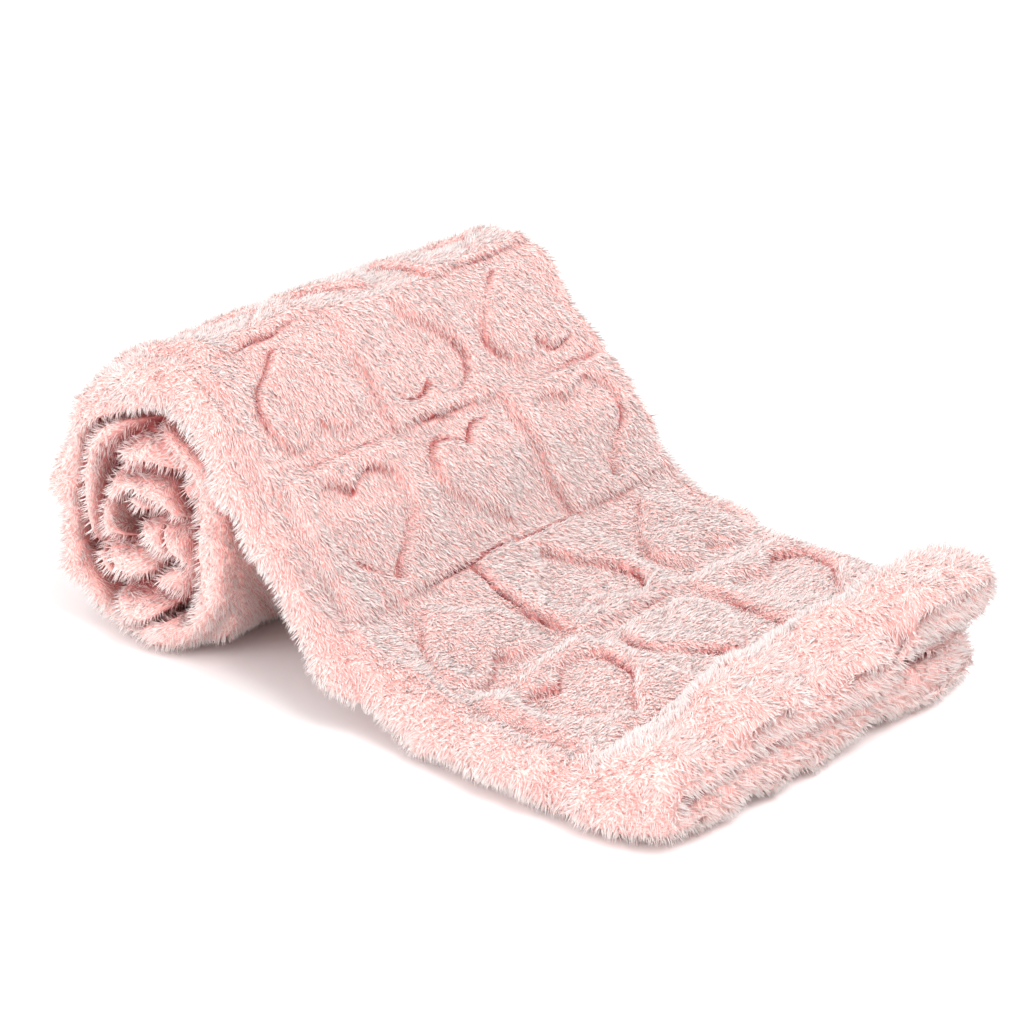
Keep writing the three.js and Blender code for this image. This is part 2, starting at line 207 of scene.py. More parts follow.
# %% Height of the pattern
ROW_PITCH = 72.5
COLUMN_PITCH = 76.5
FIRST_ROW = 57
FIRST_COLUMN = -110
HEART_WIDTH = 57
HEART_LENGTH = 55
HEART_ROUNDNESS = 0.22
HEART_POINTS = 48
EMBOSS_HEIGHT = 5.0
EMBOSS_SLOPE = 8.0
CREASE_DEPTH = 2.4
CREASE_WIDTH = 2.7
WANDER = 3.0

turn = np.arange(HEART_POINTS) / HEART_POINTS * 2 * np.pi
pointed = np.stack([
    (13 * np.cos(turn) - 5 * np.cos(2 * turn) - 2 * np.cos(3 * turn) - np.cos(4 * turn) + 2.5) / 29,
    16 * np.sin(turn) ** 3 / 32,
], -1)
oval = np.stack([np.cos(turn) / 2, np.sin(turn) / 2], -1)
heart = mix(pointed, oval, HEART_ROUNDNESS) * np.array([HEART_LENGTH, HEART_WIDTH])


def heart_distance(x, y):
    nearest = np.full(x.shape, np.inf)
    inside = np.zeros(x.shape, bool)
    for a, b in zip(heart, np.roll(heart, -1, 0)):
        d = b - a
        t = np.clip(((x - a[0]) * d[0] + (y - a[1]) * d[1]) / (d @ d), 0, 1)
        nearest = np.minimum(nearest, np.hypot(x - a[0] - d[0] * t, y - a[1] - d[1] * t))
        if d[1]:
            inside ^= ((a[1] > y) != (b[1] > y)) & (x < a[0] + d[0] * (y - a[1]) / d[1])
    return np.where(inside, -nearest, nearest)


def soft_noise(points, size, seed):
    shift = Vector((seed * 7.31, seed * 3.17, seed * 5.53))
    flat = points.reshape(-1, 3) / size
    values = [noise.noise(Vector(p) + shift) for p in flat.tolist()]
    return np.array(values).reshape(points.shape[:-1])


def emboss(distance, y):
    place = np.stack([distance, y, 0 * y], -1)
    distance = distance + WANDER * soft_noise(place, 30, 11) + 1.2 * soft_noise(place, 11, 12)
    y = y + WANDER * soft_noise(place, 30, 13) + 1.2 * soft_noise(place, 11, 14)
    strength = np.clip(0.72 + 1.3 * soft_noise(place, 34, 15), 0.3, 1.25)
    row = (distance - FIRST_ROW) / ROW_PITCH
    column = (y - FIRST_COLUMN) / COLUMN_PITCH
    x = (row - np.floor(row) - 0.5) * ROW_PITCH
    across = (column - np.floor(column) - 0.5) * COLUMN_PITCH
    border = np.minimum(ROW_PITCH / 2 - np.abs(x), COLUMN_PITCH / 2 - np.abs(across))
    tip_back = np.abs(np.floor(row)) % 2 == 1
    to_heart = heart_distance(np.where(tip_back, -x, x), across)
    high = np.abs(np.floor(row) + np.floor(column)) % 2 == 0
    in_heart = smooth(EMBOSS_SLOPE / 2, -EMBOSS_SLOPE / 2, to_heart)
    square = mix(0.5, high * 1.0, smooth(0, EMBOSS_SLOPE / 2, border))
    level = mix(square, 1.0 - high, in_heart)
    edge = np.minimum(border + 9 * smooth(-101, -107, y), np.abs(to_heart))
    return level, strength * smooth(CREASE_WIDTH, 0, edge)


# %% [markdown]
# ## The plies
#
# Folded in thirds, the cloth runs from the lower ply round the near fold to the top ply, round
# the far fold and back as the middle ply. At the front end the hems are thicker bands, and the
# plies end one behind another. The stack at one place says where each ply's middle lies above
# the inner skin and how thick it is with its pile.

# %% How the plies stack
MIDDLE_STOPS_SHORT = 30
LOWER_STOPS_SHORT = 7
FOLD_DEPTH = 14
LEAST_EDGE = 0.25
MIDDLE_FILL = 0.8
SAG = {"tail": 0.75, "roll": 0.4, "from": -4, "to": 62}
HEM_DEPTH = 62
HEM_RISE = 15
HEM_ROUND = 14
END_SLIDE = 110
FRONT_TAPER = {"near": 1, "far": 8, "length": 95}
TAIL_BULGE = {"near": 5, "far": 4}
TURN_INSET = 1.5
FAR_END_DROP = 0.065
OUTSIDE_END = 345
LIP = {"high": 2.0, "deep": 2.4, "ridge": -103, "dip": -87, "wide": 7}


def rounded_edge(distance, reach):
    t = np.clip(distance / reach, 0, 1)
    return np.maximum(LEAST_EDGE, np.sqrt(1 - (1 - t) ** 2))


def hem_rise(distance):
    return smooth(HEM_DEPTH, HEM_DEPTH * 0.3, distance)


def from_front_end(along, set_back):
    return along + set_back * (1 - np.clip(along / END_SLIDE, 0, 1))


def along_ply(distance, set_back):
    slid = (distance - set_back) / (1 - set_back / END_SLIDE)
    return np.where(distance > END_SLIDE, distance, slid)


def lower_set_back(y):
    return 10 * smooth(75, 125, y)


def middle_set_back(y):
    return 46 * smooth(62, 5, y)


def top_set_back(y):
    return -mix(1, 11, smooth(-90, 90, y))


def shown_at(strip):
    return smooth(OUTSIDE_END, OUTSIDE_END - 40, strip["angle"])


def swell(distance, y):
    return 0.7 * np.sin(distance / 31 + y / 47) + 0.5 * np.sin(distance / 19 - y / 29 + 2)


def stack_at(strip, distance, y):
    ply = (strip["depth"] - 2 * PLY_GAP) / 3
    hem = HEM_RISE * mix(0.72, 1, smooth(-107, -47, y)) * hem_rise(distance)
    along = along_ply(distance, middle_set_back(y))
    stop = -STRIP_WIDTH / 2 + MIDDLE_STOPS_SHORT
    sag = mix(SAG["tail"], SAG["roll"], smooth(ROLL_START, ROLL_START + 60, strip["angle"]))
    present = mix(1 - sag, 1, smooth(stop + SAG["from"], stop + SAG["to"], y))
    present = present * smooth(-46, -7, along)
    lower = ply + hem
    middle = (ply + 5 * smooth(0, 70, y) * hem_rise(along)) * present
    top = ply + hem + swell(distance, y) * shown_at(strip)
    return {
        "lower": (lower / 2, lower),
        "middle": (lower + PLY_GAP + middle / 2, middle * MIDDLE_FILL),
        "top": (lower + 2 * PLY_GAP + middle + top / 2, top),
    }


def edges_at(strip):
    front = 1 - smooth(0, FRONT_TAPER["length"], strip["along"])
    inset = TURN_INSET * np.maximum(0, (strip["angle"] - ROLL_START - 180) / 360)
    drift = 1.6 * np.sin(strip["along"] / 23) + 1.2 * np.sin(strip["along"] / 13 + 1)
    in_tail = smooth(ROLL_START + 60, 0, strip["angle"])
    near = -STRIP_WIDTH / 2 - TAIL_BULGE["near"] * in_tail + FRONT_TAPER["near"] * front
    far = STRIP_WIDTH / 2 + TAIL_BULGE["far"] * in_tail - FRONT_TAPER["far"] * front
    return near + inset + drift, far - inset + drift * 0.6


# %% [markdown]
# ## Room for the pile
#
# The real outline is the tips of the hairs. So the knitted backing that is modelled here lies
# inside that outline by most of a hair's length, and the hairs reach back out to it. Where plies
# are pressed together, inside the roll, less is taken off, because the pile there is crushed.

# %% A point of the backing
PILE_ROOM = 2.0
FOLD_ROOM = 4.2
PRESSED_ROOM = 0.5
THINNEST = 0.34
LEAST_PLY = 3.0


def backing(thickness, room):
    half = thickness / 2
    return np.maximum(half - room, half * THINNEST)


def fold_point(start, direction, a, b, t, side, crowded):
    """A point round a fold. In the roll the folds are squeezed square and fill their room."""
    turned = np.pi * t
    radius = np.abs(b[0] - a[0]) / 2
    thickness = mix(a[1], b[1], t)
    power = mix(1, 0.7, crowded)
    reaches = []
    for room in (FOLD_ROOM, mix(FOLD_ROOM, PRESSED_ROOM, crowded)):
        half = backing(thickness, room)
        reaches.append(radius + (half if side > 0 else -np.minimum(half, radius - PLY_GAP / 2)))
    y = start + direction * reaches[0] * np.sin(turned) ** power
    height = np.sign(np.cos(turned)) * np.abs(np.cos(turned)) ** power
    return y, (a[0] + b[0]) / 2 + np.sign(a[0] - b[0]) * reaches[1] * height


def lip(y):
    """The fat ridge that the near fold pushes up along the top, and the dip beside it."""
    ridge = LIP["high"] * np.exp(-(((y - LIP["ridge"]) / LIP["wide"]) ** 2))
    return ridge - LIP["deep"] * np.exp(-(((y - LIP["dip"]) / LIP["wide"]) ** 2))


def cloth_points(distance, q, side):
    """Points on one face of the backing, as a grid of rows by lines, and what the pile needs to
    know there. q counts along the section: lower ply 0 to 1, near fold to 2, top ply to 3, far
    fold to 4 and middle ply to 5."""
    strip = strip_at(distance)
    along = strip["along"]
    near_edge, far_edge = edges_at(strip)
    stack = lambda y, set_back: stack_at(strip, from_front_end(along, set_back), y)
    crowded = smooth(OUTSIDE_END - 60, OUTSIDE_END + 20, strip["angle"]) if side > 0 else 0
    near_fold, far_fold = near_edge + FOLD_DEPTH, far_edge - FOLD_DEPTH
    near_lower = stack(near_fold, lower_set_back(near_fold))["lower"]
    near_top = stack(near_fold, top_set_back(near_fold))["top"]
    far_top = stack(far_fold, top_set_back(far_fold))["top"]
    far_middle = stack(far_fold, middle_set_back(far_fold))["middle"]
    near_start = near_edge + (near_top[0] - near_lower[0] + near_top[1]) / 2
    far_start = far_edge - (far_top[0] - far_middle[0] + far_top[1]) / 2
    room_at_end = mix(FOLD_ROOM if side > 0 else -0.5, PILE_ROOM, smooth(10, 50, along))
    room_at_end = mix(room_at_end, PRESSED_ROOM, crowded)
    nose = HEM_ROUND - 4 if side > 0 else 4
    ends = rounded_edge(along - FOLD_ROOM, nose) * rounded_edge(WOUND_LENGTH - along, HEM_ROUND / 2)
    shape = (len(distance), len(q))
    y, height, set_back = (np.zeros(shape) for _ in range(3))
    level, crease = np.full(shape, 0.5), np.zeros(shape)
    for stretch in range(5):
        here = np.where((q >= stretch) & ((q < stretch + 1) | ((stretch == 4) & (q == 5))))[0]
        t = (q[here] - stretch)[None, :]
        if stretch in (0, 2, 4):
            name = ("lower", None, "top", None, "middle")[stretch]
            start, stop, back = {
                "lower": (far_edge - LOWER_STOPS_SHORT - FOLD_ROOM, near_start, lower_set_back),
                "top": (near_start, far_start, top_set_back),
                "middle": (far_start, near_edge + MIDDLE_STOPS_SHORT + FOLD_ROOM, middle_set_back),
            }[name]
            py = mix(start, stop, t)
            pb = back(py)
            centre, thickness = stack(py, pb)[name]
            half = backing(thickness, room_at_end) * ends
            if name == "lower":
                half = half * rounded_edge(start - py, thickness / 4)
            if name == "middle":
                half = half * rounded_edge(py - stop, thickness / 4)
            ph = centre + side * half * (1 if name == "top" else -1)
            if name == "top" and side > 0:
                margin = smooth(0, 9, np.minimum(py - near_start, far_start - py + 4))
                margin = margin * shown_at(strip) * smooth(FIRST_ROW - 8, FIRST_ROW + 4, along)
                high, line = emboss(along + 0 * py, py)
                level[:, here] = mix(0.5, high, margin)
                crease[:, here] = line * margin
                ph = ph + (high * EMBOSS_HEIGHT - 1.2 - line * CREASE_DEPTH) * margin
                beside_fold = smooth(60, 110, along) * smooth(0, 7, py - near_start)
                ph = ph + lip(py) * shown_at(strip) * beside_fold
                ph = np.maximum(ph, centre - half + LEAST_PLY)
        elif stretch == 1:
            pb = mix(lower_set_back(near_start), top_set_back(near_start), t)
            thin = [(ply[0], ply[1] * ends) for ply in (near_lower, near_top)]
            py, ph = fold_point(near_start, -1, *thin, t, side, crowded)
        else:
            pb = mix(top_set_back(far_start), middle_set_back(far_start), t)
            thin = [(ply[0], ply[1] * ends) for ply in (far_top, far_middle)]
            py, ph = fold_point(far_start, 1, *thin, t, side, crowded)
        y[:, here], height[:, here], set_back[:, here] = py, ph, pb
    slid = along - from_front_end(along, set_back)
    x = strip["inner"][..., 0] + strip["up"][..., 0] * height + slid
    z = strip["inner"][..., 1] + strip["up"][..., 1] * height
    drop = FAR_END_DROP * smooth(-STRIP_WIDTH / 2, STRIP_WIDTH / 2, y)
    z = z - drop * z * smooth(70, 150, z)
    points = np.stack([x - MIDDLE[0], y - MIDDLE[1], z], -1)
    return points, level, crease, strip


# %% Grid lines
FINE = 2.15
COARSE = 5.5
shown_length = float(np.interp(OUTSIDE_END + 25, angles, distances))
row_distances = np.concatenate([
    FOLD_ROOM + np.array([0, 0.35, 1.1, 2.3]),
    np.arange(FOLD_ROOM + 4, shown_length, FINE),
    np.arange(shown_length, WOUND_LENGTH - 4, COARSE),
    [WOUND_LENGTH - 2, WOUND_LENGTH - 0.5],
])


def lines(counts):
    return np.concatenate([
        [0, 0.004, 0.015, 0.035],
        np.linspace(0.035, 1, counts[0], endpoint=False)[1:],
        np.linspace(1, 2, counts[1], endpoint=False),
        np.linspace(2, 3, counts[2], endpoint=False),
        np.linspace(3, 4, counts[3], endpoint=False),
        np.linspace(4, 4.965, counts[4], endpoint=False),
        [4.965, 4.985, 4.996, 5],
    ])


outer_lines = lines((14, 20, 108, 14, 10))
inner_lines = lines((12, 6, 14, 6, 10))
face_out, level_out, crease_out, strip_out = cloth_points(row_distances, outer_lines, 1)
face_in = cloth_points(row_distances, inner_lines, -1)[0]
print("rows", len(row_distances), "lines outside", len(outer_lines), "inside", len(inner_lines))

# %% [markdown]
# ## Lumps and puckers
#
# Cloth as thick as this never lies smooth. Round a fold the pile is squeezed and gathers in
# soft lumps, the hem band is drawn in at intervals, and each turn of the roll ends a little
# further in or out than the last. All of it is added as small moves of the points, from smooth
# noise that is the same in every run. Moves inward are kept small, so that the two faces of the
# cloth never meet.

# %% Lumps
INWARD = 0.35
PUCKER_STRETCH = np.array([0.35, 1, 0.6])


def unit(vectors):
    return vectors / np.maximum(np.linalg.norm(vectors, axis=-1, keepdims=True), 1e-9)


normals_out = unit(np.cross(np.gradient(face_out, axis=1), np.gradient(face_out, axis=0)))
q_grid = np.broadcast_to(outer_lines[None, :], face_out.shape[:2])
along_grid = np.broadcast_to(row_distances[:, None], face_out.shape[:2])
angle_grid = np.broadcast_to(strip_out["angle"], face_out.shape[:2])
near_fold_share = smooth(0.9, 1.15, q_grid) * smooth(2.12, 1.85, q_grid)
far_fold_share = smooth(2.93, 3.1, q_grid) * smooth(4.1, 3.9, q_grid)
top_share = smooth(1.9, 2.05, q_grid) * smooth(3.1, 2.95, q_grid)
outside_share = smooth(OUTSIDE_END + 20, OUTSIDE_END - 10, angle_grid)
hem_share = smooth(70, 40, along_grid)
in_roll_share = 1 - outside_share
fold_share = near_fold_share + far_fold_share
lump = 6.5 * soft_noise(face_out, 26, 1) + 3.2 * soft_noise(face_out, 12, 2)
fine_lump = 1.8 * soft_noise(face_out, 22, 3) + 1.1 * soft_noise(face_out, 9, 4)
pucker = 9.0 * soft_noise(face_out * PUCKER_STRETCH, 24, 5) + 2.5 * soft_noise(face_out, 12, 6)
move = lump * fold_share * mix(0.35, 1.0, outside_share) + fine_lump * top_share * outside_share
move = move + pucker * hem_share * (1 - fold_share)
move = np.where(move < 0, mix(INWARD, 1.0, hem_share * (1 - fold_share)) * move, move)
face_out = face_out + normals_out * move[..., None]
face_out[..., 2] = np.maximum(face_out[..., 2], 0.0)
print("largest lump", round(float(np.abs(move).max()), 1), "mm")

# %% [markdown]
# The end of the roll is not a neat spiral. The inner turns are squeezed into soft bundles with
# deep dark folds between them. A short list of the bundles and another of the folds, as places
# on the end seen from the side, push the end out and in. The push fades within a few
# centimetres, so nothing passes through anything else. A fold is given by its depth, its width
# and the line that it follows.

# %% Bundles and folds at the roll's end
BUNDLES = [
    {"x": -144, "z": 100, "wide": 20, "high": 10, "out": 8},
    {"x": -127, "z": 83, "wide": 22, "high": 9, "out": 9},
    {"x": -120, "z": 63, "wide": 15, "high": 10, "out": 8},
    {"x": -150, "z": 62, "wide": 14, "high": 11, "out": 7},
    {"x": -148, "z": 42, "wide": 17, "high": 11, "out": 9},
    {"x": -124, "z": 42, "wide": 12, "high": 8, "out": 7},
    {"x": -135, "z": 20, "wide": 22, "high": 8, "out": 7},
]
FOLDS = [
    (13, 4.4, [(-130, 117), (-143, 108), (-152, 101), (-158, 92), (-161, 82)]),
    (12, 4.0, [(-161, 82), (-165, 68), (-166, 50), (-172, 37), (-160, 27), (-157, 16)]),
    (11, 3.4, [(-150, 90), (-138, 92), (-126, 96), (-112, 94)]),
    (12, 3.4, [(-153, 73), (-140, 71), (-128, 72), (-116, 77), (-106, 72)]),
    (12, 3.4, [(-160, 52), (-146, 53), (-136, 56), (-126, 51), (-113, 52)]),
    (13, 3.6, [(-158, 29), (-144, 30), (-131, 33), (-118, 31), (-109, 25)]),
    (5, 4.0, [(-130, 117), (-114, 108), (-104, 92), (-100, 72), (-104, 50), (-109, 25)]),
]
DEEPEST_FOLD = 13
END_PUSH_FADES = {"from": -88, "to": -124}


def line_distance(x, z, line):
    nearest = np.full(x.shape, np.inf)
    for (ax, az), (bx, bz) in zip(line, line[1:]):
        dx, dz = bx - ax, bz - az
        t = np.clip(((x - ax) * dx + (z - az) * dz) / (dx * dx + dz * dz), 0, 1)
        nearest = np.minimum(nearest, np.hypot(x - ax - dx * t, z - az - dz * t))
    return nearest


def push_end(points):
    at_ends = smooth(84, 122, np.abs(points[..., 1])) * smooth(-62, -84, points[..., 0])
    low = smooth(0, 14, points[..., 2])
    moved = points.copy()
    for axis, seed in ((0, 31), (2, 32)):
        warp = soft_noise(moved * np.array([1, 0.3, 1]), 36, seed)
        moved[..., axis] += 7.0 * warp * at_ends * low
    x, y, z = moved[..., 0], moved[..., 1], moved[..., 2]
    in_roll = smooth(-62, -84, x)
    place = np.stack([x, 0 * x, z], -1)
    x = x + 3.0 * soft_noise(place, 14, 21)
    z = z + 3.0 * soft_noise(place, 14, 22)
    inward = 2.5 * soft_noise(place, 17, 23)
    for bundle in BUNDLES:
        off = ((x - bundle["x"]) / bundle["wide"]) ** 2 + ((z - bundle["z"]) / bundle["high"]) ** 2
        inward = inward - bundle["out"] * np.exp(-off)
    folded = 0 * x
    for deep, wide, line in FOLDS:
        near = np.exp(-((line_distance(x, z, line) / wide) ** 2))
        inward = inward + deep * near
        folded = np.maximum(folded, near * deep / DEEPEST_FOLD)
    fade = smooth(END_PUSH_FADES["from"], END_PUSH_FADES["to"], y) * in_roll
    far_end = (7.0 * soft_noise(place, 17, 33) - 2.0) * smooth(92, 120, y) * in_roll
    moved[..., 1] += inward * fade + far_end
    return moved, folded * fade


face_out, folded_out = push_end(face_out)
face_in, folded_in = push_end(face_in)
folded_out = folded_out * (1 - 0.85 * outside_share)
print("folds at the roll's end:", round(float(folded_out.max() * DEEPEST_FOLD)), "mm deep at most")

# %% [markdown]
# ## The cloth as a mesh
#
# Two grids of points make the two faces of the backing. They are joined along the free edges by
# narrow strips, and at the strip's two ends by a ribbon that zips two rows with different
# numbers of points. The result is one closed skin, which is what a sheet of cloth is.

# %% Mesh of the backing
def zip_rows(a_numbers, a_places, b_numbers, b_places):
    """Triangles between two rows of points that run the same way."""
    made, i, k = [], 0, 0
    while i < len(a_numbers) - 1 or k < len(b_numbers) - 1:
        a_next = a_places[i + 1] if i < len(a_numbers) - 1 else np.inf
        b_next = b_places[k + 1] if k < len(b_numbers) - 1 else np.inf
        if a_next <= b_next:
            made.append((a_numbers[i], a_numbers[i + 1], b_numbers[k]))
            i += 1
        else:
            made.append((a_numbers[i], b_numbers[k + 1], b_numbers[k]))
            k += 1
    return made


rows, outs, ins = len(row_distances), len(outer_lines), len(inner_lines)
out_numbers = np.arange(rows * outs).reshape(rows, outs)
in_numbers = rows * outs + np.arange(rows * ins).reshape(rows, ins)
points = np.concatenate([face_out.reshape(-1, 3), face_in.reshape(-1, 3)]) * MM


def quads(a, b, flip):
    corners = (a[:-1], a[1:], b[1:], b[:-1])
    return np.stack(corners[::-1] if flip else corners, -1).reshape(-1, 4).tolist()


faces = []
for k in range(outs - 1):
    faces += quads(out_numbers[:, k], out_numbers[:, k + 1], False)
for k in range(ins - 1):
    faces += quads(in_numbers[:, k], in_numbers[:, k + 1], True)
faces += quads(out_numbers[:, 0], in_numbers[:, 0], True)
faces += quads(out_numbers[:, -1], in_numbers[:, -1], False)
front_cap = zip_rows(out_numbers[0], outer_lines, in_numbers[0], inner_lines)
back_cap = zip_rows(out_numbers[-1], outer_lines, in_numbers[-1], inner_lines)
faces += front_cap + [face[::-1] for face in back_cap]

mesh = bpy.data.meshes.new("blanket_cloth")
mesh.from_pydata(points.tolist(), [], faces)
mesh.validate()
tri = np.array([(f[0], f[i], f[i + 1]) for f in faces for i in range(1, len(f) - 1)])
first, second, third = (points[tri[:, k]] for k in range(3))
volume = float(np.sum(first * np.cross(second, third)) / 6)
if volume < 0:
    mesh.flip_normals()
mesh.shade_smooth()
cloth = bpy.data.objects.new("blanket_cloth", mesh)
bpy.context.scene.collection.objects.link(cloth)
print("cloth:", len(tri), "triangles,", round(abs(volume) * 1e6), "cm3")

# %% [markdown]
# ## What each hair needs to know
#
# A hair is placed by three things that change slowly over the cloth: how thickly the pile
# stands there, which way its nap leans and how long it is. They are written on the mesh as
# named attributes. Where a turn of the roll covers the cloth there are no hairs at all, since
# nobody could see them.

# %% Attributes of the pile
PARTING = 3.0
LONG_HAIR = 5.2
SHORT_HAIR = 3.6
on_back_share = smooth(ROLL_START + 10, ROLL_START + 60, angle_grid)
far_side_share = smooth(-1.0, 1.0, top_share + far_fold_share)
near_start_share = smooth(0.62, 0.8, q_grid) * smooth(2.36, 2.2, q_grid)
far_start_share = smooth(2.66, 2.8, q_grid) * smooth(4.36, 4.2, q_grid)
edge_share = smooth(0.14, 0.05, q_grid)
end_share = np.maximum(np.maximum(near_start_share, far_start_share), edge_share)
roll_end_share = in_roll_share * end_share
resting = smooth(3.0, 0.5, face_out[..., 2]) * smooth(1.0, 0.9, q_grid)
bottom_share = smooth(0.0, 0.03, q_grid) * smooth(1.0, 0.9, q_grid)

cover_out = mix(1.0, 0.62, on_back_share * far_side_share)
cover_out *= 1 - in_roll_share + roll_end_share
cover_out *= 1 - resting * smooth(8, 14, along_grid)
cover_out *= 1 - smooth(4.12, 4.25, q_grid) * smooth(26, 60, along_grid)
cover_out *= 1 - 0.6 * bottom_share * smooth(20, 60, along_grid)
cover_out *= 1 - 0.35 * far_fold_share * smooth(60, 90, along_grid)
cover_out *= (1 - 0.6 * np.clip(crease_out, 0, 1)) * (1 - 0.25 * folded_out)
free_edge_in = np.broadcast_to(smooth(0.12, 0.05, inner_lines)[None, :], face_in.shape[:2])
cover_in = np.maximum(smooth(34, 14, row_distances)[:, None], 0.8 * free_edge_in)

down_step, across_step = np.gradient(face_out, axis=0), np.gradient(face_out, axis=1)
front_way = -unit(down_step)
parting = np.zeros_like(front_way)
for step, axis in ((down_step, 0), (across_step, 1)):
    slope = np.gradient(np.maximum(crease_out, folded_out), axis=axis)
    parting -= step * (slope / np.maximum(np.sum(step * step, -1), 1e-6))[..., None]
droop = np.zeros_like(front_way)
droop[..., 2] = -1
aside = np.zeros_like(front_way)
aside[..., 1] = -near_fold_share + 0.6 * far_fold_share - 0.15
on_back = smooth(ROLL_START - 5, ROLL_START + 80, angle_grid)[..., None]
nap_out = front_way * (1 - 0.85 * on_back) + aside * 0.5 + droop * (0.35 + 0.5 * on_back)
nap_out = nap_out + parting * PARTING
nap_in = np.zeros_like(face_in)
nap_in[..., 0] = 1.0 - free_edge_in
nap_in[..., 1] = 1.4 * free_edge_in

long_share = np.clip(fold_share + hem_share * 0.8 + on_back[..., 0] * 0.3, 0, 1)
length_out = mix(SHORT_HAIR, LONG_HAIR, long_share)
length_out = length_out * (1 - 0.3 * np.clip(crease_out, 0, 1)) * mix(0.92, 1.06, level_out)
length_in = np.full(face_in.shape[:2], 6.0)
upright_share = np.clip(fold_share + 0.8 * hem_share + 0.6 * on_back[..., 0], 0, 1)
lean_out = mix(0.85, 0.45, upright_share)
lean_in = np.full(face_in.shape[:2], 0.7)


def write_attribute(name, kind, outer_values, inner_values):
    attribute = mesh.attributes.new(name, kind, "POINT")
    width = 3 if kind == "FLOAT_VECTOR" else 1
    values = np.concatenate([outer_values.reshape(-1, width), inner_values.reshape(-1, width)])
    field = "vector" if width == 3 else "value"
    attribute.data.foreach_set(field, values.astype(np.float32).ravel())


write_attribute("nap", "FLOAT_VECTOR", nap_out, nap_in)
write_attribute("hair_length", "FLOAT", length_out * MM, length_in * MM)
write_attribute("lean", "FLOAT", lean_out, lean_in)
# How deep in a crease of the pattern or a fold of the roll's end each point lies; the finishes
# paint shade from it.
write_attribute("crease", "FLOAT", np.maximum(0.85 * crease_out**1.4, folded_out), folded_in)

around = np.linalg.norm(np.diff(face_out, axis=1), axis=-1).mean(0)
around_out = np.concatenate([[0], np.cumsum(around)])
around_in = np.interp(inner_lines, outer_lines, around_out)
uv_out = np.stack([along_grid, np.broadcast_to(around_out, along_grid.shape)], -1)
uv_in = np.stack([np.broadcast_to(row_distances[:, None], face_in.shape[:2]),
                  np.broadcast_to(around_in, face_in.shape[:2]) + 900], -1)
uv_points = np.concatenate([uv_out.reshape(-1, 2), uv_in.reshape(-1, 2)]) * MM
corner_points = np.zeros(len(mesh.loops), np.int32)
mesh.loops.foreach_get("vertex_index", corner_points)
uv_layer = mesh.uv_layers.new(name="along_cloth")
uv_layer.data.foreach_set("uv", uv_points[corner_points].astype(np.float32).ravel())

# %% [markdown]
# ## How shut in each place is
#
# Light that reaches the bottom of a crease has passed from fibre to fibre, and at every step the
# pink takes more of its green and blue. So a plush goes deep rose, not grey, wherever it is shut
# in, and here that deep rose is painted into the colour as shade. Short rays from every point of
# the cloth tell how much of what it sees is cloth close by.

# %% Rays from the cloth
SEE_FAR = 38
RAYS = 14
MOST_SHUT = 0.4

step = np.arange(RAYS) + 0.5
round_ray, level = np.pi * (1 + 5**0.5) * step, 1 - 2 * step / RAYS
ring = np.sqrt(1 - level**2)
sphere = np.stack([np.cos(round_ray) * ring, np.sin(round_ray) * ring, level], -1)
all_points = np.concatenate([face_out.reshape(-1, 3), face_in.reshape(-1, 3)])
tree = BVHTree.FromPolygons(all_points.tolist(), faces)
point_normals = np.array([v.normal for v in mesh.vertices])


def shut_in_at(numbers):
    """The share of each point's view that is cloth nearby, nearer cloth counting for more."""
    shares = np.zeros(len(numbers))
    for i, k in enumerate(numbers):
        normal = point_normals[k]
        start = Vector(all_points[k] + normal * 2.0)
        ways = normal + sphere * 0.98
        hits = [tree.ray_cast(start, Vector(way), SEE_FAR)[3] for way in ways.tolist()]
        shares[i] = sum(1 - hit / SEE_FAR for hit in hits if hit is not None) / RAYS
    return shares


def eased(grid):
    for axis in (0, 1):
        grid = (grid + np.roll(grid, 1, axis) + np.roll(grid, -1, axis)) / 3
    return grid


shut_out = np.zeros(rows * outs)
seen = np.flatnonzero(cover_out.ravel() > 0.05)
shut_out[seen] = shut_in_at(seen)
shut_out = np.minimum(shut_out.reshape(rows, outs), MOST_SHUT)
for _ in range(3):
    shut_out = eased(shut_out)
shut_in = np.zeros(rows * ins)
seen_in = np.flatnonzero(cover_in.ravel() > 0.05)
shut_in[seen_in] = shut_in_at(rows * outs + seen_in)
shut_in = np.minimum(shut_in.reshape(rows, ins), MOST_SHUT)
write_attribute("shut_in", "FLOAT", shut_out, shut_in)
print("rays from", len(seen) + len(seen_in), "points, most shut in", round(shut_out.max(), 2))

# %% [markdown]
# ## The pile
#
# Two hundred thousand hairs repeat one small shape, which is the work that Geometry Nodes are
# for. Points are scattered over the cloth where an attribute says so, each gets a slender cone
# of three sides, leaning with the nap and pushed about by a noise so that neighbours clump and
# part as plush does, and the instances are made real. The object is split into regions only so
# that no piece grows too heavy.

# %% Helpers for trees
class Nodes:
    """Adds nodes to a tree: a type, its settings, then the values or links of its sockets."""

    def __init__(self, tree):
        self.tree = tree

    def add(self, kind, settings=None, **sockets):
        node = self.tree.nodes.new(kind)
        for name, value in (settings or {}).items():
            setattr(node, name, value)
        for name, value in sockets.items():
            socket = self.find(node, name)
            value = value.socket if isinstance(value, Wire) else value
            if isinstance(value, bpy.types.NodeSocket):
                self.tree.links.new(value, socket)
            else:
                socket.default_value = value
        return node

    def find(self, node, name):
        if name.startswith("in") and name[2:].isdigit():
            return node.inputs[int(name[2:])]
        wanted = name.replace("_", " ").lower()
        return next(s for s in node.inputs if s.enabled and s.name.lower() == wanted)


